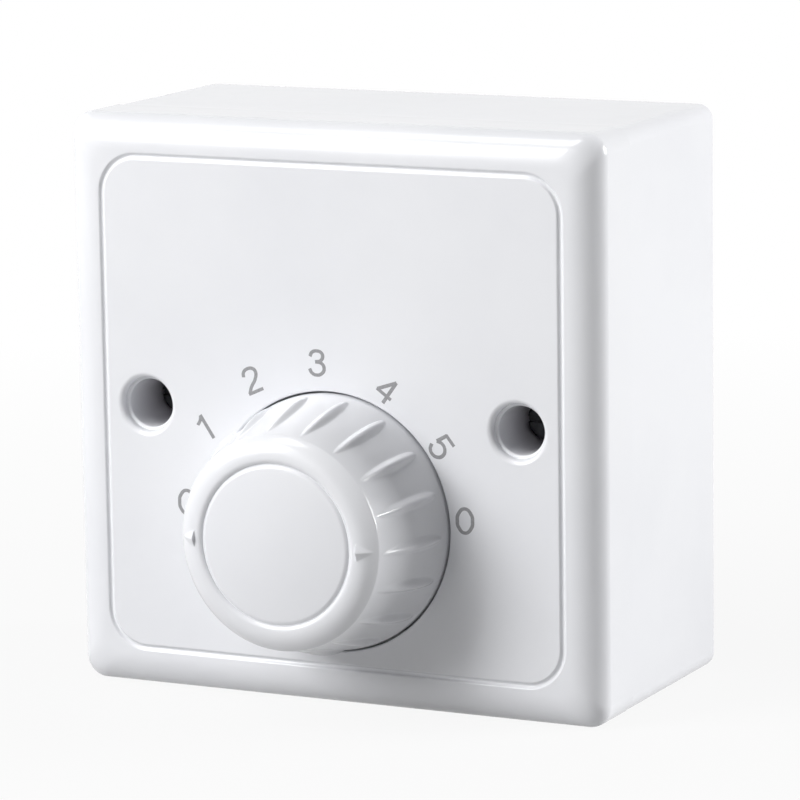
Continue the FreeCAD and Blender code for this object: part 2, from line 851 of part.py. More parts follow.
def choke_bobbin():
    """Tube round the middle leg with two flanges and the rail for the tags."""
    bore_x = core_leg / 2 + bobbin_play
    bore_z = core_stack / 2 + bobbin_play
    tube_x = bore_x + bobbin_wall
    tube_z = bore_z + bobbin_wall
    y0 = core_y + core_side + flange_play
    y1 = y0 + core_window_length - 2 * flange_play
    flange_x = core_leg / 2 + core_window - flange_play
    low = choke_rise - coil_half
    high = choke_rise + coil_half
    bobbin = box(-tube_x, tube_x, y0, y1, choke_rise - tube_z, choke_rise + tube_z)
    for y in (y0, y1 - bobbin_wall):
        bobbin = bobbin.fuse(box(-flange_x, flange_x, y, y + bobbin_wall, low, high))
    bobbin = bobbin.fuse(box(-rail_end, rail_end, y1 - rail_depth, y1, low - rail_height, low))
    bobbin = bobbin.cut(box(-bore_x, bore_x, y0, y1, choke_rise - bore_z, choke_rise + bore_z))
    holes = [Part.makeCylinder(tag_radius + fit_play, rail_height, Vector(x, tag_y(), low - rail_height),
                               Vector(0, 0, 1)) for x in tag_places()]
    return bobbin.cut(holes)


def tag_y():
    return core_y + core_side + core_window_length - flange_play - rail_depth / 2


def tag_places():
    """X of each tag: one above every speed contact, and one for the coil's end."""
    taps = [polar(contact_place, speed_angle(speed))[0] for speed in range(1, speeds + 1)]
    return taps + [end_tag_place]


def tag_end():
    return choke_rise - coil_half - rail_height - tag_length


def choke_tags():
    length = rail_height + tag_length
    return Part.makeCompound([
        Part.makeCylinder(tag_radius, length, Vector(x, tag_y(), tag_end()), Vector(0, 0, 1))
        for x in tag_places()
    ])


def choke_winding():
    """The coil as one ring of wire between the flanges."""
    inner_x = core_leg / 2 + bobbin_play + bobbin_wall + fit_play
    inner_z = core_stack / 2 + bobbin_play + bobbin_wall + fit_play
    outer_x = core_leg / 2 + core_window - coil_margin
    outer_z = coil_half - coil_margin
    y0 = core_y + core_side + flange_play + bobbin_wall + fit_play
    y1 = core_y + core_side + core_window_length - flange_play - bobbin_wall - fit_play
    coil = slab(outer_x, outer_z, outer_x - inner_x, y0, y1)
    coil = coil.cut(box(-inner_x, inner_x, y0, y1, -inner_z, inner_z))
    coil.translate(Vector(0, 0, choke_rise))
    return coil


def choke_bracket():
    """Steel strap over the core, with two feet on the plate's bosses."""
    inner = core_half + strap_play
    outer = inner + strap_thickness
    low = choke_rise - core_stack / 2
    high = choke_rise + core_stack / 2
    inner_y = core_y + core_length + strap_play
    outer_y = inner_y + strap_thickness
    strap = box(-outer, outer, foot_y, outer_y, low, high)
    strap = strap.cut(box(-inner, inner, foot_y, inner_y, low, high))
    for side in (-1, 1):
        ends = sorted((side * inner, side * (outer + strap_foot)))
        foot = box(ends[0], ends[1], foot_y, foot_y + strap_thickness, low, high)
        hole_radius = foot_screw_radius + screw_play
        hole = disc(hole_radius, foot_y, foot_y + strap_thickness, side * foot_x, choke_rise)
        strap = strap.fuse(foot).cut(hole)
    return strap


def choke_screws():
    seat = foot_y + strap_thickness
    return Part.makeCompound([
        rear_screw(x, choke_rise, seat, foot_screw_radius, foot_screw_length - strap_thickness,
                   small_head_radius, small_head)
        for x in (-foot_x, foot_x)
    ])


def tube_columns():
    return (block_x - block_pitch / 2, block_x + block_pitch / 2)


def clamp_rows():
    return (block_z - clamp_spacing / 2, block_z + clamp_spacing / 2)


def bar_z(radius, x, y, z0, z1):
    return Part.makeCylinder(radius, z1 - z0, Vector(x, y, z0), Vector(0, 0, 1))


def terminal_block():
    """Insulating block with two tunnels for the brass tubes and a screw shaft over each clamp."""
    rear = block_y + block_depth
    low = block_z - block_length / 2
    high = block_z + block_length / 2
    block = box(block_x - block_half, block_x + block_half, block_y, rear, low, high)
    upright = [e for e in block.Edges if abs(e.tangentAt(e.FirstParameter).z) > 0.5]
    block = block.makeFillet(block_skin, upright)
    tunnel_y = block_y + tube_place
    cuts = []
    for x in tube_columns():
        cuts.append(bar_z(tube_radius + fit_play, x, tunnel_y, low, high))
        for z in clamp_rows():
            cuts.append(disc(clamp_radius + screw_play, tunnel_y, rear, x, z))
    cuts.append(disc(block_screw_radius + screw_play, block_y, rear, block_x, block_z))
    cuts.append(disc(small_head_radius + screw_play, rear - small_head, rear, block_x, block_z))
    return block.cut(cuts)


def terminal_tubes():
    tunnel_y = block_y + tube_place
    low = block_z - block_length / 2 + tube_margin
    high = block_z + block_length / 2 - tube_margin
    tubes = []
    for x in tube_columns():
        tube = bar_z(tube_radius, x, tunnel_y, low, high).cut(bar_z(tube_bore, x, tunnel_y, low, high))
        for z in clamp_rows():
            tube = tube.cut(disc(clamp_radius + thread_play, tunnel_y, tunnel_y + tube_radius, x, z))
        tubes.append(tube)
    return Part.makeCompound(tubes)


def clamp_screws():
    """Grub screws that press on the wires in the tubes."""
    tip = block_y + tube_place + lead_radius + fit_play
    head = block_y + block_depth - clamp_sink
    screws = []
    for x in tube_columns():
        for z in clamp_rows():
            slot = box(x - clamp_radius, x + clamp_radius, head - slot_depth, head,
                       z - clamp_slot / 2, z + clamp_slot / 2)
            screws.append(disc(clamp_radius, tip, head, x, z).cut(slot))
    return Part.makeCompound(screws)


def block_screw():
    seat = block_y + block_depth - small_head
    length = seat - block_y + block_screw_bite - fit_play
    return rear_screw(block_x, block_z, seat, block_screw_radius, length, small_head_radius, small_head)


def bent_wire(points, bend):
    """Round wire along straight runs that are joined by tangent arcs."""
    edges = []
    start = points[0]
    for before, corner, after in zip(points, points[1:], points[2:]):
        into = (corner - before).normalize()
        out = (after - corner).normalize()
        turn = into.getAngle(out)
        reach = bend * math.tan(turn / 2)
        first = corner - into * reach
        second = corner + out * reach
        inward = (out - into).normalize()
        middle = corner + inward * (bend / math.cos(turn / 2) - bend)
        edges.append(Part.makeLine(start, first))
        edges.append(Part.Arc(first, middle, second).toShape())
        start = second
    edges.append(Part.makeLine(start, points[-1]))
    path = Part.Wire(edges)
    section = Part.Wire(Part.makeCircle(lead_radius, points[0], points[1] - points[0]))
    return path.makePipeShell([section], True, False)


def tap_leads():
    """One lead from each tag of the choke down to the lug of its speed contact."""
    leads = []
    for speed in range(1, speeds + 1):
        x, z = polar(contact_place, speed_angle(speed))
        leads.append(bent_wire([
            Vector(x, tag_y(), tag_end()),
            Vector(x, tag_y(), z),
            Vector(x, lug_y + lug_length, z),
        ], tap_bend))
    return Part.makeCompound(leads)


def line_leads():
    """Lead from the coil's end to one terminal, and from the common contact to the other."""
    near, far = tube_columns()
    tube_y = block_y + tube_place
    top = block_z + block_length / 2
    level = top + line_level
    end = block_z + clamp_spacing / 2 - clamp_radius
    common_z = knob_z - (common_outer + common_inner) / 2
    lug_end = lug_y + lug_length
    coil_lead = bent_wire([
        Vector(end_tag_place, tag_y(), tag_end()),
        Vector(end_tag_place, tag_y(), level),
        Vector(near, tube_y, level),
        Vector(near, tube_y, end),
    ], line_bend)
    common_lead = bent_wire([
        Vector(0, lug_end, common_z),
        Vector(0, lug_end + line_reach, common_z),
        Vector(line_corner_x, lug_end + line_reach, level - line_bend),
        Vector(far, tube_y, level),
        Vector(far, tube_y, end),
    ], line_bend)
    return Part.makeCompound([coil_lead, common_lead])


os.makedirs("parts", exist_ok=True)
makers = [
    surface_box, post_inserts, front_plate, plate_screws, knob, knob_cap, knob_clip, bush_nut, lock_washer,
    switch_frame, switch_shaft, shaft_circlip, index_wheel, detent_spring, switch_case, rotor, wiper,
    contact_base, common_contact, switch_rivets, choke_core, choke_bobbin, choke_winding, choke_tags,
    choke_bracket, choke_screws, terminal_block, terminal_tubes, clamp_screws, block_screw, tap_leads,
    line_leads,
]
for maker in makers:
    save(maker.__name__, maker())
for speed in range(1, speeds + 1):
    save("speed_contact_" + str(speed), speed_contact(speed))
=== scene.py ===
import math

import bmesh
import bpy
import numpy as np
from mathutils import Matrix, Vector


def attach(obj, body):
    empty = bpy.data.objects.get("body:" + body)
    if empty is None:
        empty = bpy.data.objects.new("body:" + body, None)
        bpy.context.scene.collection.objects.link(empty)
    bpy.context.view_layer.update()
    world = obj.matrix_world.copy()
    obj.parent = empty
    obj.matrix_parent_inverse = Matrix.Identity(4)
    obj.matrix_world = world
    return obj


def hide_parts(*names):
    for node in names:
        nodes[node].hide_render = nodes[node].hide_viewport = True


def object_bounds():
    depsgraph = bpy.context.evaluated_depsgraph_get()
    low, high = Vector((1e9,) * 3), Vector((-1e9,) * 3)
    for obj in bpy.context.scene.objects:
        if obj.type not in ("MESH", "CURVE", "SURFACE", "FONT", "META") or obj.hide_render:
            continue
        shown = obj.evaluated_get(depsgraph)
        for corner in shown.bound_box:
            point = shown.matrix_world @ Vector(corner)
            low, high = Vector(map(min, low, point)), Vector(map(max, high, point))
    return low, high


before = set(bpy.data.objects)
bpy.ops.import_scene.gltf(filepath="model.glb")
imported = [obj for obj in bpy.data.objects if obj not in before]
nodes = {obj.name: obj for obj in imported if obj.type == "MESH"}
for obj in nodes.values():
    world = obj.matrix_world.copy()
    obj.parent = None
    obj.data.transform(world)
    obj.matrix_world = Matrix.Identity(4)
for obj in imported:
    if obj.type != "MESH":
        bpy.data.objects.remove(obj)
cad_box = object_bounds()


# Surface box: the open-fronted box that is screwed to the wall, injection moulded in glossy white plastic.
# Two posts inside take the plate screws, and the cables come in through the round hole in its back.
mm = 0.001
box_half = 42.7
box_front = -32.0
box_corner = 2.3
box_inner_corner = 1.2
box_back_edge = 0.7
box_wall = 2.2
box_back_wall = 2.4
post_radius = 5.0
post_front = -29.5
post_bore = 2.94
screw_x = 30.15
cable_hole = 10.0
wall_hole = 2.25
wall_hole_z = 30.15
hole_edge = 0.25
overrun = 1.0
weld_gap = 1e-4


def deselect():
    """Leave the piece in hand, so that the next operator acts on nothing else."""
    if bpy.context.object and bpy.context.object.mode != "OBJECT":
        bpy.ops.object.mode_set(mode="OBJECT")
    bpy.ops.object.select_all(action="DESELECT")


def work_on(piece, mode="EDIT"):
    """Make a piece the only one that operators act on."""
    deselect()
    piece.select_set(True)
    bpy.context.view_layer.objects.active = piece
    bpy.ops.object.mode_set(mode=mode)


def pick(piece, kind, test):
    """Select the faces whose middle and normal pass a test, or the edges whose two ends do."""
    bpy.ops.mesh.select_mode(type=kind)
    bpy.ops.mesh.select_all(action="DESELECT")
    shape = bmesh.from_edit_mesh(piece.data)
    if kind == "FACE":
        for face in shape.faces:
            face.select_set(test(face.calc_center_median(), face.normal))
    else:
        for edge in shape.edges:
            edge.select_set(test(edge.verts[0].co, edge.verts[1].co))
    shape.select_flush_mode()
    bmesh.update_edit_mesh(piece.data)


def square_block(name, half, front, back, corner, segments):
    """A square block about the Y axis with its four long edges rounded, left open for more work."""
    deselect()
    bpy.ops.mesh.primitive_cube_add(size=1.0)
    piece = bpy.context.object
    piece.name = name
    bpy.ops.object.mode_set(mode="EDIT")
    bpy.ops.mesh.select_all(action="SELECT")
    bpy.ops.transform.resize(value=(2 * half, back - front, 2 * half), center_override=(0.0, 0.0, 0.0))
    bpy.ops.transform.translate(value=(0.0, (front + back) / 2, 0.0))
    pick(piece, "EDGE", lambda a, b: not same(a.y, b.y))
    bpy.ops.mesh.bevel(offset=corner, segments=segments, affect="EDGES")
    return piece


def outline(name, points):
    """A line of points in the XY plane, drawn by extruding one vertex on from point to point."""
    deselect()
    bpy.ops.mesh.primitive_plane_add(size=1.0)
    piece = bpy.context.object
    piece.name = name
    bpy.ops.object.mode_set(mode="EDIT")
    bpy.ops.mesh.select_mode(type="VERT")
    bpy.ops.mesh.select_all(action="SELECT")
    bpy.ops.mesh.merge(type="CENTER")
    bpy.ops.transform.translate(value=(*points[0], 0.0))
    for before, after in zip(points, points[1:]):
        step = (after[0] - before[0], after[1] - before[1], 0.0)
        bpy.ops.mesh.extrude_vertices_move(TRANSFORM_OT_translate={"value": step})
    return piece


def close_up(threshold=weld_gap):
    """Weld what lies together and turn every face outwards."""
    bpy.ops.mesh.select_all(action="SELECT")
    bpy.ops.mesh.remove_doubles(threshold=threshold)
    bpy.ops.mesh.normals_make_consistent(inside=False)


def turned(name, profile, x, z, steps):
    """Lathe work: a profile of radius and depth, turned round the line along Y through x and z."""
    piece = outline(name, profile)
    bpy.ops.object.mode_set(mode="OBJECT")
    lathe = piece.modifiers.new("lathe", "SCREW")
    lathe.axis = "Y"
    lathe.steps = steps
    lathe.render_steps = steps
    lathe.use_merge_vertices = True
    lathe.merge_threshold = weld_gap
    lathe.use_smooth_shade = False
    bpy.ops.object.modifier_apply(modifier=lathe.name)
    bpy.ops.object.mode_set(mode="EDIT")
    close_up()
    bpy.ops.transform.translate(value=(x, 0.0, z))
    bpy.ops.object.mode_set(mode="OBJECT")
    return piece


def arc(centre, radius, start, end, count):
    """Points along an arc of a profile, with angles in degrees from outward towards the wall."""
    angles = np.radians(np.linspace(start, end, count + 1))
    return [(centre[0] + radius * math.cos(a), centre[1] + radius * math.sin(a)) for a in angles]


def carve(piece, tool, operation="DIFFERENCE"):
    """Cut a tool out of a piece, or weld it on, and throw the tool away."""
    work_on(piece, "OBJECT")
    change = piece.modifiers.new("carve", "BOOLEAN")
    change.operation = operation
    change.solver = "MANIFOLD"
    change.object = tool
    bpy.ops.object.modifier_apply(modifier=change.name)
    bpy.data.objects.remove(tool)


def polish(piece, angle):
    """Bring a piece from millimetres to metres, smooth its curved faces and keep the flat ones flat."""
    work_on(piece)
    bpy.ops.mesh.select_all(action="SELECT")
    bpy.ops.transform.resize(value=(mm, mm, mm), center_override=(0.0, 0.0, 0.0))
    bpy.ops.object.mode_set(mode="OBJECT")
    bpy.ops.object.shade_smooth_by_angle(angle=math.radians(angle))
    flat = piece.modifiers.new("flat", "WEIGHTED_NORMAL")
    flat.keep_sharp = True
    flat.weight = 100
    bpy.ops.object.modifier_apply(modifier=flat.name)


def same(value, other):
    """Whether two places along an axis are one, apart from rounding."""
    return abs(value - other) < weld_gap


def bar(name, radius, y0, y1, x, z, steps=64):
    """A plain round bar along Y from y0 to y1."""
    return turned(name, [(0.0, y0), (radius, y0), (radius, y1), (0.0, y1)], x, z, steps)


def rounded_hole(name, radius, edge, y0, y1, x, z, steps):
    """Tool for a hole through a wall, with a rounding where it leaves the outer face at y1."""
    mouth = arc((radius + edge, y1 - edge), edge, 180, 90, count=6)
    profile = [(0.0, y0), (radius, y0), *mouth, (radius + edge, y1 + edge), (0.0, y1 + edge)]
    return turned(name, profile, x, z, steps)


surface_box = square_block("surface_box_shell", box_half, box_front, 0.0, box_corner, segments=10)
pick(surface_box, "EDGE", lambda a, b: same(a.y, 0.0) and same(b.y, 0.0))
bpy.ops.mesh.bevel(offset=box_back_edge, segments=6, affect="EDGES", clamp_overlap=False)
box_inside = box_half - box_wall
hollow = square_block("hollow", box_inside, 2 * box_front, -box_back_wall, box_inner_corner, segments=6)
carve(surface_box, hollow)
for side in (-1, 1):
    post = bar("post", post_radius, post_front, -box_back_wall / 2, side * screw_x, 0.0)
    carve(surface_box, post, "UNION")
    bore = bar("post_bore", post_bore, post_front - overrun, -box_back_wall - overrun, side * screw_x, 0.0)
    carve(surface_box, bore)
hole_start = -2 * box_back_wall
carve(surface_box, rounded_hole("entry", cable_hole, hole_edge, hole_start, 0.0, 0.0, 0.0, steps=128))
for side in (-1, 1):
    fixing = rounded_hole("fixing", wall_hole, hole_edge, hole_start, 0.0, 0.0, side * wall_hole_z, steps=64)
    carve(surface_box, fixing)
polish(surface_box, angle=40)

white_light = (0.835, 0.842, 0.868)
white_deep = (0.795, 0.803, 0.834)
box_rough = 0.24
plastic_ior = 1.53
fine_ripple = 0.01 * mm


def new_finish(name):
    """An empty material, with its shader and the place on the piece that its patterns follow."""
    material = bpy.data.materials.new(name)
    material.use_nodes = True
    tree = material.node_tree
    place = tree.nodes.new("ShaderNodeTexCoord").outputs["Object"]
    return material, tree, tree.nodes["Principled BSDF"], place


def specks(tree, place, scale, detail):
    """Cloudy variation over the piece."""
    noise = tree.nodes.new("ShaderNodeTexNoise")
    noise.inputs["Scale"].default_value = scale
    noise.inputs["Detail"].default_value = detail
    tree.links.new(place, noise.inputs["Vector"])
    return noise.outputs["Fac"]


def two_tone(tree, value, deep, light, low, high):
    """Colour the piece from deep to light as a pattern's value goes from low to high."""
    tint = tree.nodes.new("ShaderNodeValToRGB")
    tint.color_ramp.elements[0].position = low
    tint.color_ramp.elements[0].color = (*deep, 1.0)
    tint.color_ramp.elements[1].position = high
    tint.color_ramp.elements[1].color = (*light, 1.0)
    tree.links.new(value, tint.inputs["Fac"])
    tree.links.new(tint.outputs["Color"], tree.nodes["Principled BSDF"].inputs["Base Color"])
    return tint.color_ramp


def uneven_gloss(tree, value, low, high, shiny, dull):
    """Let the roughness follow a pattern's value."""
    shine = tree.nodes.new("ShaderNodeMapRange")
    shine.inputs["From Min"].default_value = low
    shine.inputs["From Max"].default_value = high
    shine.inputs["To Min"].default_value = shiny
    shine.inputs["To Max"].default_value = dull
    tree.links.new(value, shine.inputs["Value"])
    tree.links.new(shine.outputs["Result"], tree.nodes["Principled BSDF"].inputs["Roughness"])


def relief(tree, value, strength, depth):
    """Let the skin rise and fall slightly with a pattern's value."""
    bump = tree.nodes.new("ShaderNodeBump")
    bump.inputs["Strength"].default_value = strength
    bump.inputs["Distance"].default_value = depth
    tree.links.new(value, bump.inputs["Height"])
    tree.links.new(bump.outputs["Normal"], tree.nodes["Principled BSDF"].inputs["Normal"])


def mould(name, light, deep, rough, ripple_depth=fine_ripple):
    """Moulded plastic: a faintly cloudy colour, an uneven gloss and the soft ripple of a moulded skin."""
    material, tree, shader, place = new_finish(name)
    shader.inputs["IOR"].default_value = plastic_ior
    cloud = specks(tree, place, scale=32.0, detail=4.0)
    two_tone(tree, cloud, deep, light, low=0.30, high=0.62)
    uneven_gloss(tree, cloud, low=0.3, high=0.7, shiny=rough - 0.03, dull=rough + 0.03)
    ripple = specks(tree, place, scale=380.0, detail=2.0)
    relief(tree, ripple, strength=0.25, depth=ripple_depth)
    return material


def finish_with(piece, material):
    """Give a piece one material all over."""
    piece.data.materials.clear()
    piece.data.materials.append(material)


finish_with(surface_box, mould("box_white", white_light, white_deep, box_rough))
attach(surface_box, "enclosure")
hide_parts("surface_box")


# Post inserts: plain brass bushes pressed into the box's two posts, which take the plate screws.
# The brass contacts and terminal tubes further on have the same drawn finish.
brass_light = (0.80, 0.60, 0.28)
brass_deep = (0.58, 0.40, 0.15)
metal_grain = 0.02 * mm


def drawn_metal(name, light, deep, rough, stretch=(1.0, 1.0, 1.0)):
    """Bare or plated metal: a streaked colour, drawn lines in the gloss and a slight grain."""
    material, tree, shader, place = new_finish(name)
    shader.inputs["Metallic"].default_value = 1.0
    drawn = tree.nodes.new("ShaderNodeMapping")
    drawn.inputs["Scale"].default_value = stretch
    tree.links.new(place, drawn.inputs["Vector"])
    streak = specks(tree, drawn.outputs["Vector"], scale=900.0, detail=3.0)
    two_tone(tree, streak, deep, light, low=0.32, high=0.66)
    uneven_gloss(tree, streak, low=0.0, high=1.0, shiny=rough - 0.08, dull=rough + 0.10)
    relief(tree, streak, strength=0.15, depth=metal_grain)
    return material


brass = drawn_metal("drawn_brass", brass_light, brass_deep, rough=0.30, stretch=(1.0, 0.15, 1.0))
finish_with(nodes["post_inserts"], brass)


# Front plate: the square cover, a glossy white moulding with a rounded rim and a fine groove round its face.
# It is open behind, fits over the box by a lip and is held by two screws at the bottom of deep wells.
plate_half = 43.0
face = -43.5
plate_corner = 3.2
plate_edge = 3.6
plate_border = 5.0
border_steps = 20
plate_wall = 2.4
plate_inside = face + plate_wall
rim_width = 2.75
lip_wall = 1.2
lip_height = 1.5
groove_middle = 37.0
groove_corner = 5.75
groove_depth = 0.4
groove_round = 0.35
well_radius = 3.6
well_lip = 0.4
well_ledge = 4.05
well_mouth = 0.85
well_ledge_depth = 1.3
well_depth = 12.0
well_wall = 2.0
# Painted shade in the screw wells: its grey, how far out from the ledge it fades in and the depth at which it
# is full.
well_shade_grey = (0.60, 0.59, 0.62)
well_shade_edge = 1.0
well_shade_depth = 9.6
plate_rough = 0.20
screw_hole = 1.95
knob_z = -15.4
recess_radius = 19.3
recess_depth = 3.0
recess_edge = 0.3
recess_cup = 21.35
seat = face + 5.0
bush_hole = 5.15
foot_x = 22.1
foot_z = 20.0
foot_radius = 3.2
foot_seat = face + 5.4
block_boss = 3.0
terminal_x = 30.15
terminal_z = -30.5
terminal_seat = face + 5.5

half, level = plate_half, face + plate_edge
front_plate = square_block("front_plate_shell", half, level, box_front, plate_corner, segments=16)
pick(front_plate, "FACE", lambda middle, normal: normal.y < -0.5)
for step in range(1, border_steps + 1):
    turn = math.pi / 2 * step / border_steps
    next_half = plate_half - plate_border * (1.0 - math.cos(turn))
    next_level = face + plate_edge * (1.0 - math.sin(turn))
    bpy.ops.mesh.extrude_region_move(TRANSFORM_OT_translate={"value": (0.0, next_level - level, 0.0)})
    shrink = next_half / half
    bpy.ops.transform.resize(value=(shrink, 1.0, shrink), center_override=(0.0, 0.0, 0.0))
    half, level = next_half, next_level
lip_out = plate_half - rim_width
lip_back = box_front + lip_height
lip = square_block("lip", lip_out, box_front - lip_height, lip_back, box_inner_corner, segments=6)
carve(front_plate, lip, "UNION")
hollow = square_block("hollow", lip_out - lip_wall, plate_inside, 0.0, box_inner_corner, segments=6)
carve(front_plate, hollow)
root = plate_inside - plate_wall / 2
carve(front_plate, bar("recess_cup", recess_cup, root, seat, 0.0, knob_z, steps=128), "UNION")
well_back = face + well_depth + well_wall
for side in (-1, 1):
    tube = bar("well_tube", well_radius + well_wall, root, well_back, side * screw_x, 0.0)
    carve(front_plate, tube, "UNION")
    foot = bar("foot", foot_radius, root, foot_seat, side * foot_x, foot_z)
    carve(front_plate, foot, "UNION")
boss = bar("block_seat", block_boss, root, terminal_seat, terminal_x, terminal_z)
carve(front_plate, boss, "UNION")


def groove_tool():
    """Soft-lipped groove: its section is drawn once, then run along the sides and round the corners."""
    reach = 2 * groove_round
    half = math.sqrt(reach ** 2 - (reach - groove_depth) ** 2)
    lean = math.degrees(math.asin(half / reach))
    lip = arc((half, face + groove_round), groove_round, 270, 270 - lean, count=6)
    bottom = arc((0.0, face + groove_depth - groove_round), groove_round, 90 - lean, 90, count=6)
    right = [(half, face - groove_depth), *lip, *bottom[1:]]
    section = right + [(-x, y) for x, y in reversed(right[:-1])]
    straight = groove_middle - groove_corner
    tool = outline("groove", section + section[:1])
    bpy.ops.mesh.select_all(action="SELECT")
    bpy.ops.mesh.remove_doubles(threshold=weld_gap)
    bpy.ops.transform.translate(value=(groove_middle, 0.0, -straight))
    bpy.ops.mesh.select_mode(type="EDGE")
    bpy.ops.mesh.select_all(action="SELECT")
    for x, z in ((0, 1), (-1, 0), (0, -1), (1, 0)):
        run = (2 * straight * x, 0.0, 2 * straight * z)
        bpy.ops.mesh.extrude_edges_move(TRANSFORM_OT_translate={"value": run})
        centre = (straight * (x + z), 0.0, straight * (z - x))
        bpy.ops.mesh.spin(steps=20, angle=math.pi / 2, center=centre, axis=(0.0, 1.0, 0.0))
    close_up(threshold=1e-3)
    bpy.ops.object.mode_set(mode="OBJECT")
    return tool


carve(front_plate, groove_tool())
mouth = arc((well_ledge + well_mouth, face + well_mouth), well_mouth, 270, 180, count=10)
profile = [(0.0, face - well_mouth), (well_ledge + well_mouth, face - well_mouth), *mouth]
profile += [(well_ledge, face + well_ledge_depth)]
lip_centre = (well_radius + well_lip, face + well_ledge_depth + well_lip)
profile += arc(lip_centre, well_lip, 270, 180, count=8)
profile += [(well_radius, face + well_depth), (screw_hole, face + well_depth)]
profile += [(screw_hole, well_back + well_wall), (0.0, well_back + well_wall)]
for side in (-1, 1):
    carve(front_plate, turned("well", profile, side * screw_x, 0.0, steps=96))
mouth = arc((recess_radius + recess_edge, face + recess_edge), recess_edge, 270, 180, count=8)
profile = [(0.0, face - overrun), (recess_radius + recess_edge, face - overrun), *mouth]
profile += [(recess_radius, face + recess_depth), (bush_hole, face + recess_depth)]
profile += [(bush_hole, seat + overrun), (0.0, seat + overrun)]
carve(front_plate, turned("recess", profile, 0.0, knob_z, steps=192))
polish(front_plate, angle=32)

plate_white = mould("plate_white", white_light, white_deep, plate_rough)


def paint_well_shade(material):
    """Painted shade: deep in the screw wells the white is greyed towards the bottom, standing in for the
    shade that falls there.
    """
    tree = material.node_tree
    link = tree.links.new

    def reckon(operation, first, second):
        node = tree.nodes.new("ShaderNodeMath")
        node.operation = operation
        link(first, node.inputs[0])
        if isinstance(second, float):
            node.inputs[1].default_value = second
        else:
            link(second, node.inputs[1])
        return node.outputs["Value"]

    def fade(value, start, end):
        node = tree.nodes.new("ShaderNodeMapRange")
        node.inputs["From Min"].default_value = start * mm
        node.inputs["From Max"].default_value = end * mm
        link(value, node.inputs["Value"])
        return node.outputs["Result"]

    place = tree.nodes.new("ShaderNodeTexCoord")
    split = tree.nodes.new("ShaderNodeSeparateXYZ")
    link(place.outputs["Object"], split.inputs["Vector"])
    across = reckon("SUBTRACT", reckon("ABSOLUTE", split.outputs["X"], 0.0), screw_x * mm)
    across_square = reckon("POWER", across, 2.0)
    up_square = reckon("POWER", split.outputs["Z"], 2.0)
    reach = reckon("SQRT", reckon("ADD", across_square, up_square), 0.0)
    inside = fade(reach, well_ledge + well_shade_edge, well_ledge)
    depth = fade(split.outputs["Y"], face + well_ledge_depth, face + well_shade_depth)
    shader = tree.nodes["Principled BSDF"]
    mix = tree.nodes.new("ShaderNodeMix")
    mix.data_type = "RGBA"
    link(reckon("MULTIPLY", inside, depth), mix.inputs["Factor"])
    link(shader.inputs["Base Color"].links[0].from_socket, mix.inputs["A"])
    mix.inputs["B"].default_value = (*well_shade_grey, 1.0)
    link(mix.outputs["Result"], shader.inputs["Base Color"])


# The screw wells get painted shade, which greys the white towards their bottoms.
paint_well_shade(plate_white)
finish_with(front_plate, plate_white)
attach(front_plate, "enclosure")
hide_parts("front_plate")


# Plate screws: slotted pan heads, black passivated, at the bottom of the wells.
# They clamp the plate to the inserts in the box's posts.
dark_steel = drawn_metal("black_passivated_steel", (0.07, 0.07, 0.075), (0.04, 0.04, 0.045), rough=0.55)
finish_with(nodes["plate_screws"], dark_steel)


# Numbers: 0 1 2 3 4 5 0 in an arc round the knob, printed on the face in thin grey strokes.
# The print lies on the moulded face with almost no thickness.
number_height = 4.0
number_stretch = 1.12
stroke = 0.5
print_squash = 0.05
ink_rough = 0.45
# Each number has its digit, its place across and up the face and its turn in degrees.
numbers = {
    "number_0_left": ("0", -23.76, -14.26, 0.0),
    "number_1": ("1", -20.45, -2.88, 34.0),
    "number_2": ("2", -12.46, 4.82, 24.0),
    "number_3": ("3", -1.72, 8.03, 0.0),
    "number_4": ("4", 9.54, 4.79, -36.0),
    "number_5": ("5", 18.06, -2.97, -52.0),
    "number_0_right": ("0", 21.74, -13.53, 0.0),
}
# A digit's strokes run through points across and up from its middle, in parts of its height.
strokes = {
    "0": [("loop", [(0.0, 0.445), (0.235, 0.23), (0.27, 0.0), (0.235, -0.23), (0.0, -0.445), (-0.235, -0.23),
                    (-0.27, 0.0), (-0.235, 0.23)])],
    "1": [("line", [(0.10, -0.5), (0.10, 0.5)]), ("curve", [(0.10, 0.47), (-0.01, 0.33), (-0.17, 0.24)])],
    "2": [("curve", [(-0.25, 0.21), (-0.18, 0.38), (0.0, 0.445), (0.19, 0.37), (0.24, 0.21), (0.14, 0.0),
                     (-0.12, -0.24), (-0.26, -0.44)]), ("line", [(-0.30, -0.445), (0.28, -0.445)])],
    "3": [("curve", [(-0.25, 0.23), (-0.17, 0.39), (0.0, 0.445), (0.17, 0.38), (0.21, 0.23), (0.13, 0.09),
                     (-0.06, 0.04)]),
          ("curve", [(-0.06, 0.04), (0.16, 0.0), (0.26, -0.18), (0.18, -0.37), (0.0, -0.445), (-0.18, -0.38),
                     (-0.27, -0.22)])],
    "4": [("line", [(0.13, -0.5), (0.13, 0.46)]), ("line", [(0.14, 0.46), (-0.29, -0.20)]),
          ("line", [(-0.32, -0.20), (0.30, -0.20)])],
    "5": [("line", [(0.25, 0.445), (-0.20, 0.445)]), ("line", [(-0.165, 0.47), (-0.235, 0.0)]),
          ("curve", [(-0.235, 0.0), (-0.05, 0.115), (0.17, 0.05), (0.26, -0.14), (0.19, -0.35), (0.0, -0.445),
                     (-0.17, -0.39), (-0.27, -0.22)])],
}


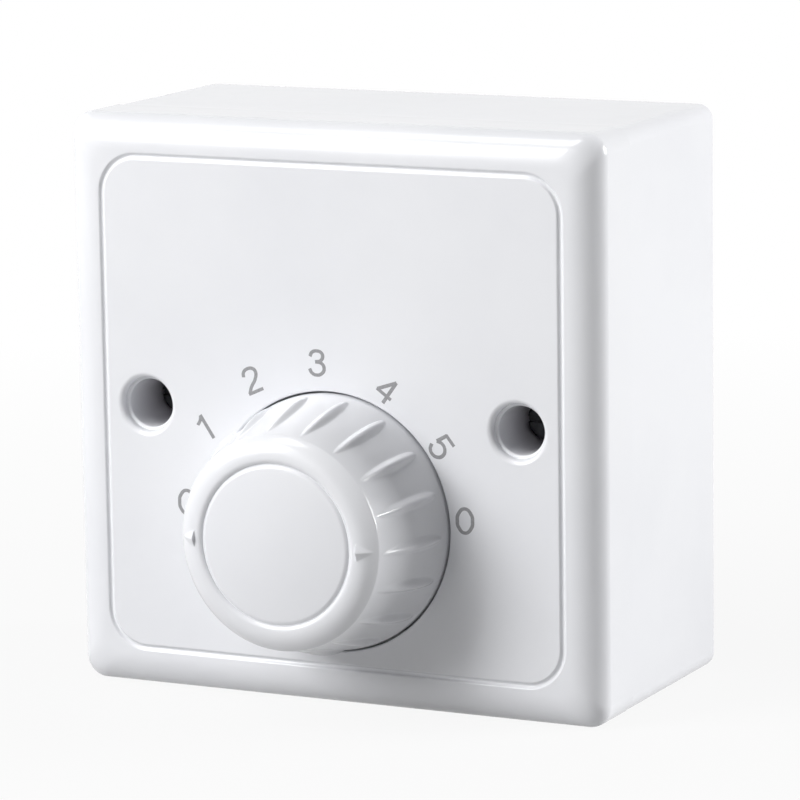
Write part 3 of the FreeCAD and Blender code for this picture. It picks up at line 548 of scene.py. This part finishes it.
def printed(name, strokes_of, x, z, turn):
    """Strokes drawn with a round pen, pressed flat and laid on the face."""
    deselect()
    bpy.ops.curve.primitive_bezier_curve_add()
    line = bpy.context.object
    line.name = name
    line.data.dimensions = "3D"
    line.data.splines.clear()
    line.data.bevel_depth = stroke / 2 / number_height
    line.data.bevel_resolution = 2
    line.data.use_fill_caps = True
    line.data.resolution_u = 8
    for kind, points in strokes_of:
        spline = line.data.splines.new("BEZIER")
        spline.bezier_points.add(len(points) - 1)
        spline.use_cyclic_u = kind == "loop"
        for spot, (across, up) in zip(spline.bezier_points, points):
            spot.co = (across, 0.0, up)
            spot.handle_left_type = "VECTOR" if kind == "line" else "AUTO"
            spot.handle_right_type = "VECTOR" if kind == "line" else "AUTO"
    bpy.ops.object.convert(target="MESH")
    piece = bpy.context.object
    bpy.ops.object.mode_set(mode="EDIT")
    bpy.ops.mesh.select_all(action="SELECT")
    size = (number_height * number_stretch, number_height * print_squash, number_height)
    bpy.ops.transform.resize(value=size, center_override=(0.0, 0.0, 0.0))
    bpy.ops.transform.rotate(value=math.radians(turn), orient_axis="Y", center_override=(0.0, 0.0, 0.0))
    bpy.ops.transform.translate(value=(x, face, z))
    close_up()
    bpy.ops.object.mode_set(mode="OBJECT")
    polish(piece, angle=60)
    return piece


def print_ink(name, light, deep):
    """Thin printing ink: the grey is uneven where the white shows through."""
    material, tree, shader, place = new_finish(name)
    shader.inputs["Roughness"].default_value = ink_rough
    grain = specks(tree, place, scale=2600.0, detail=3.0)
    two_tone(tree, grain, deep, light, low=0.30, high=0.75)
    return material


grey_ink = print_ink("grey_print", (0.33, 0.33, 0.34), (0.26, 0.26, 0.27))
for name, (digit, x, z, turn) in numbers.items():
    number = printed(name, strokes[digit], x, z, turn)
    finish_with(number, grey_ink)
    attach(number, "enclosure")


# Rotary switch: a die-cast front with its bush, a brown phenolic cup and base, riveted together.
# Inside, a notched nylon wheel clicks under a bronze leaf, and a bronze wiper sweeps the brass contacts.
coarse_ripple = 0.02 * mm
zinc = drawn_metal("die_cast_zinc", (0.62, 0.63, 0.65), (0.46, 0.47, 0.49), rough=0.48)
plated_steel = drawn_metal("zinc_plated_steel", (0.68, 0.69, 0.71), (0.52, 0.53, 0.56), rough=0.32,
                           stretch=(1.0, 0.2, 1.0))
bronze = drawn_metal("phosphor_bronze", (0.74, 0.47, 0.27), (0.55, 0.32, 0.16), rough=0.30,
                     stretch=(0.2, 1.0, 1.0))
phenolic = mould("brown_phenolic", (0.16, 0.085, 0.045), (0.10, 0.05, 0.028), rough=0.42,
                 ripple_depth=coarse_ripple)
nylon = mould("natural_nylon", (0.80, 0.77, 0.68), (0.72, 0.69, 0.60), rough=0.45,
              ripple_depth=coarse_ripple)
black_nylon = mould("black_nylon", (0.055, 0.055, 0.06), (0.035, 0.035, 0.04), rough=0.45,
                    ripple_depth=coarse_ripple)
finish_with(nodes["switch_frame"], zinc)
for node in ("bush_nut", "lock_washer", "switch_shaft", "switch_rivets", "knob_clip"):
    finish_with(nodes[node], plated_steel)
for node in ("detent_spring", "wiper"):
    finish_with(nodes[node], bronze)
for node in ("switch_case", "rotor", "contact_base"):
    finish_with(nodes[node], phenolic)
for speed in range(1, 6):
    finish_with(nodes[f"speed_contact_{speed}"], brass)
finish_with(nodes["common_contact"], brass)
finish_with(nodes["index_wheel"], nylon)
finish_with(nodes["shaft_circlip"], dark_steel)


# Tapped choke: a stack of varnished laminations with a wound bobbin on its middle leg.
# A steel strap holds it to the plate, and each tap of the coil ends on a tag.
wave_rate = 20.0
layer_gap = 0.05
layer_edge = 0.35
layer_top = 0.95


def striped(name, light, deep, gap, pitch, direction, rough, metal):
    """Layers of sheet or turns of wire: fine lines across the piece, one for each layer."""
    material, tree, shader, place = new_finish(name)
    shader.inputs["Metallic"].default_value = metal
    shader.inputs["Roughness"].default_value = rough
    lines = tree.nodes.new("ShaderNodeTexWave")
    lines.bands_direction = direction
    lines.inputs["Scale"].default_value = math.tau / wave_rate / pitch
    lines.inputs["Distortion"].default_value = 0.4
    lines.inputs["Detail Scale"].default_value = 3.0
    tree.links.new(place, lines.inputs["Vector"])
    tint = two_tone(tree, lines.outputs["Fac"], gap, light, low=layer_gap, high=layer_top)
    tint.elements.new(layer_edge).color = (*deep, 1.0)
    relief(tree, lines.outputs["Fac"], strength=0.5, depth=pitch / 4)
    return material


laminations = striped("varnished_laminations", (0.21, 0.22, 0.24), (0.15, 0.155, 0.17), (0.05, 0.05, 0.055),
                      pitch=0.5 * mm, direction="Z", rough=0.42, metal=0.6)
wire = striped("enamelled_wire", (0.58, 0.22, 0.08), (0.40, 0.13, 0.045), (0.12, 0.035, 0.015),
               pitch=0.45 * mm, direction="Y", rough=0.25, metal=0.5)
finish_with(nodes["choke_core"], laminations)
finish_with(nodes["choke_winding"], wire)
finish_with(nodes["choke_bobbin"], black_nylon)
for node in ("choke_tags", "choke_bracket", "choke_screws"):
    finish_with(nodes[node], plated_steel)


# Terminal block: black nylon with two brass tubes for the supply and fan wires, screwed to the plate's boss.
# Two grub screws in each tube hold the wire ends.
finish_with(nodes["terminal_block"], black_nylon)
finish_with(nodes["terminal_tubes"], brass)
finish_with(nodes["clamp_screws"], plated_steel)
finish_with(nodes["block_screw"], plated_steel)


# Leads: short stiff lengths of PVC-covered wire, red from the choke's tags and black to the terminals.
# Each is soldered at both ends or held in a terminal.
lead_rough = 0.40
red_insulation = mould("red_insulation", (0.52, 0.045, 0.035), (0.42, 0.03, 0.025), lead_rough)
black_insulation = mould("black_insulation", (0.04, 0.04, 0.044), (0.025, 0.025, 0.028), lead_rough)
finish_with(nodes["tap_leads"], red_insulation)
finish_with(nodes["line_leads"], black_insulation)


# Knob: one white moulding, a hollow cone with eighteen tapering grip ribs and a rounded collar.
# Two raised pointers on the collar face the numbers. It sits on the switch's shaft by a hub inside,
# which is out of sight and left to the solid.
knob_base = 19.0
knob_top = 15.8
knob_height = 15.9
knob_sink = 2.2
knob_land = 0.4
knob_wall = 2.0
knob_roof = 12.9
collar_edge = 0.3
collar_inner = 12.55
collar_rise = 1.7
crest_drop = 0.35
cap_pocket = 11.85
cap_seat = 15.2
rib_count = 18
rib_start = 1.7
rib_end = 15.2
rib_peak = 0.4
rib_height = 0.75
rib_half = 1.15
rib_turn = math.radians(-2.0)
pointer_start = 13.0
pointer_half = 1.35
pointer_length = 2.4
pointer_rise = 0.6
knob_steps = rib_count * 40
skirt_rows = 60
skirt_margin = 0.02
tiny = 1e-9
knob_rough = 0.22


def skirt(height):
    """Radius of the conical skirt at a height above the face."""
    return knob_base - (knob_base - knob_top) * (height - knob_land) / (knob_height - knob_land)


crest = face - knob_height - collar_rise
crest_run = collar_inner - cap_pocket
crest_turn = 2.0 * math.atan(crest_drop / crest_run)
crest_round = crest_run / math.sin(crest_turn)
lean = 2.0 * math.atan(collar_rise / (knob_top - collar_inner))
collar_round = (knob_top - collar_inner) / math.sin(lean)
collar = arc((collar_inner, crest + collar_round), collar_round, 270 + math.degrees(lean), 270, count=28)
profile = [(0.0, face - knob_roof), (skirt(knob_roof) - knob_wall, face - knob_roof)]
profile += [(knob_base - knob_wall, face + knob_sink), (knob_base, face + knob_sink)]
heights = np.linspace(knob_land, knob_height, skirt_rows)
profile += [(skirt(height), face - height) for height in heights[:-1]]
profile += collar
crest_end = 270 - math.degrees(crest_turn)
profile += arc((collar_inner, crest + crest_round), crest_round, 270, crest_end, count=8)[1:]
profile += [(cap_pocket, face - cap_seat), (0.0, face - cap_seat)]
knob = turned("knob_body", profile, 0.0, knob_z, knob_steps)

points = np.empty(len(knob.data.vertices) * 3)
knob.data.vertices.foreach_get("co", points)
points = points.reshape(-1, 3)
height = face - points[:, 1]
across, up = points[:, 0], points[:, 2] - knob_z
radius = np.hypot(across, up)
angle = np.arctan2(up, across)
spacing = math.tau / rib_count
offset = radius * (angle - rib_turn - spacing * np.round((angle - rib_turn) / spacing))
run = np.clip((height - rib_start) / (rib_end - rib_start), 0.0, 1.0)
swell = (run / rib_peak) ** (2 * rib_peak) * ((1.0 - run) / (1.0 - rib_peak)) ** (2 - 2 * rib_peak)
outside = np.abs(radius - skirt(height)) < skirt_margin
width = rib_half * np.sqrt(swell) + tiny
ridge = 0.5 + 0.5 * np.cos(math.pi * np.clip(offset / width, -1.0, 1.0))
lift = np.where(outside, rib_height * swell * ridge, 0.0)
points[:, 0] += lift * across / np.maximum(radius, tiny)
points[:, 2] += lift * up / np.maximum(radius, tiny)
reach = radius - pointer_start
taper = np.clip(1.0 - reach / pointer_length, 0.0, 1.0)
wedge = taper * np.clip(1.0 - np.abs(up) / (pointer_half * taper + tiny), 0.0, 1.0)
on_collar = (reach > 0.0) & (height > knob_height - collar_edge)
points[:, 1] -= np.where(on_collar, pointer_rise * wedge, 0.0)
knob.data.vertices.foreach_set("co", points.ravel())
knob.data.update()
polish(knob, angle=50)

knob_white = mould("knob_white", white_light, white_deep, knob_rough)
finish_with(knob, knob_white)
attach(knob, "dial")
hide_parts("knob")


# Knob cap: a white disc with a slightly domed front and rounded edge, pressed into the collar.
# The ring behind it that snaps into the knob is out of sight and left to the solid.
cap_radius = 11.83
cap_height = 17.6
cap_dome = 0.79
cap_edge = 0.9
cap_step = 35
corner = cap_radius - cap_edge
spread = (corner ** 2 + cap_dome ** 2) / (2 * cap_dome)
cap_lean = math.degrees(math.asin(corner / spread))
ball = spread + cap_edge
rim = arc((corner, face - cap_height + cap_edge), cap_edge, 360 - cap_step, 270 + cap_lean, count=12)
profile = [(0.0, face - cap_seat), (cap_radius, face - cap_seat), (cap_radius, rim[0][1]), *rim]
profile += arc((0.0, face - cap_height - cap_dome + ball), ball, 270 + cap_lean, 270, count=24)[1:]
cap = turned("knob_cap_disc", profile, 0.0, knob_z, steps=192)
polish(cap, angle=50)
finish_with(cap, knob_white)
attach(cap, "dial")
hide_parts("knob_cap")


# Stage: a plain pale floor under the box, soft lamps and the camera of the photograph.
# Floor and world look white where they are seen, and the floor keeps a faint shadow beside the box.
floor_level = cad_box[0][2]
floor_colour = (0.40, 0.40, 0.40, 1.0)
floor_size = 12.0
floor_rough = 0.9
floor_near, floor_far = 0.06, 0.30
floor_near_white = 0.91
deselect()
bpy.ops.mesh.primitive_plane_add(size=floor_size)
floor = bpy.context.object
floor.name = "floor"
bpy.ops.object.mode_set(mode="EDIT")
bpy.ops.mesh.select_all(action="SELECT")
bpy.ops.transform.translate(value=(0.0, 0.0, floor_level))
bpy.ops.object.mode_set(mode="OBJECT")


def seen_white(tree, shade, white, share):
    """Show a shader as white to the camera and in reflections, by a share, and as itself to other light."""
    link = tree.links.new
    path = tree.nodes.new("ShaderNodeLightPath")
    seen = path.outputs["Is Camera Ray"]
    for kind in ("Is Glossy Ray", "Is Transmission Ray"):
        either = tree.nodes.new("ShaderNodeMath")
        either.operation = "MAXIMUM"
        link(seen, either.inputs[0])
        link(path.outputs[kind], either.inputs[1])
        seen = either.outputs["Value"]
    if share:
        part = tree.nodes.new("ShaderNodeMath")
        part.operation = "MULTIPLY"
        link(seen, part.inputs[0])
        link(share, part.inputs[1])
        seen = part.outputs["Value"]
    mix = tree.nodes.new("ShaderNodeMixShader")
    link(seen, mix.inputs["Fac"])
    link(shade, mix.inputs[1])
    link(white, mix.inputs[2])
    return mix.outputs["Shader"]


pale, tree, matt, place = new_finish("pale_floor")
link = tree.links.new
matt.inputs["Roughness"].default_value = floor_rough
matt.inputs["Base Color"].default_value = floor_colour
glow = tree.nodes.new("ShaderNodeEmission")
reach = tree.nodes.new("ShaderNodeVectorMath")
reach.operation = "LENGTH"
link(place, reach.inputs[0])
fade = tree.nodes.new("ShaderNodeMapRange")
fade.inputs["From Min"].default_value = floor_near
fade.inputs["From Max"].default_value = floor_far
fade.inputs["To Min"].default_value = floor_near_white
link(reach.outputs["Value"], fade.inputs["Value"])
surface = seen_white(tree, matt.outputs["BSDF"], glow.outputs["Emission"], fade.outputs["Result"])
link(surface, tree.nodes["Material Output"].inputs["Surface"])
finish_with(floor, pale)

fill_colour = (0.97, 0.98, 1.0, 1.0)
fill_level = 0.01
scene = bpy.context.scene
scene.view_settings.view_transform = "Standard"
world = bpy.data.worlds.new("studio")
scene.world = world
world.use_nodes = True
tree = world.node_tree
fill = tree.nodes["Background"]
fill.inputs["Color"].default_value = fill_colour
fill.inputs["Strength"].default_value = fill_level
white = tree.nodes.new("ShaderNodeBackground")
white.inputs["Color"].default_value = (1.0, 1.0, 1.0, 1.0)
surface = seen_white(tree, fill.outputs["Background"], white.outputs["Background"], None)
tree.links.new(surface, tree.nodes["World Output"].inputs["Surface"])

# Each lamp has a direction from the box, a distance, a width and its level of light on the box.
lamps = {
    "key": ((-0.57, -0.67, 0.47), 0.9, 0.45, 0.82),
    "front": ((-0.35, -0.85, 0.40), 0.9, 0.50, 0.12),
    "side": ((0.82, 0.48, 0.28), 1.3, 0.50, 1.01),
    "top": ((-0.28, -0.37, 0.89), 1.2, 0.40, 0.30),
}
aim = Vector((0.0, -0.025, 0.0))
for name, (direction, distance, width, level) in lamps.items():
    lamp = bpy.data.lights.new(name, "AREA")
    lamp.shape = "SQUARE"
    lamp.size = width
    lamp.energy = level * (math.pi * distance) ** 2
    holder = bpy.data.objects.new(name, lamp)
    scene.collection.objects.link(holder)
    holder.location = aim + Vector(direction).normalized() * distance
    holder.rotation_euler = (aim - holder.location).to_track_quat("-Z", "Y").to_euler()

view_azimuth, view_height, view_roll = (math.radians(a) for a in (26.174, 10.322, -0.827))
view_aim = Vector((1.06, -22.0, -0.891)) * mm
view_distance = 691.612 * mm
focal_pixels = 4633.77
picture_width = 800
sensor_width = 36.0
sideways = math.cos(view_height)
back = Vector((math.sin(view_azimuth) * sideways, -math.cos(view_azimuth) * sideways, math.sin(view_height)))
right = Vector((math.cos(view_azimuth), math.sin(view_azimuth), 0.0))
above = back.cross(right)
leaning_right = math.cos(view_roll) * right + math.sin(view_roll) * above
leaning_up = math.cos(view_roll) * above - math.sin(view_roll) * right
camera_data = bpy.data.cameras.new("camera")
camera_data.sensor_width = sensor_width
camera_data.lens = focal_pixels / picture_width * sensor_width
camera = bpy.data.objects.new("camera", camera_data)
scene.collection.objects.link(camera)
turn = Matrix((leaning_right, leaning_up, back)).transposed().to_4x4()
camera.matrix_world = Matrix.Translation(view_aim + back * view_distance) @ turn
scene.camera = camera
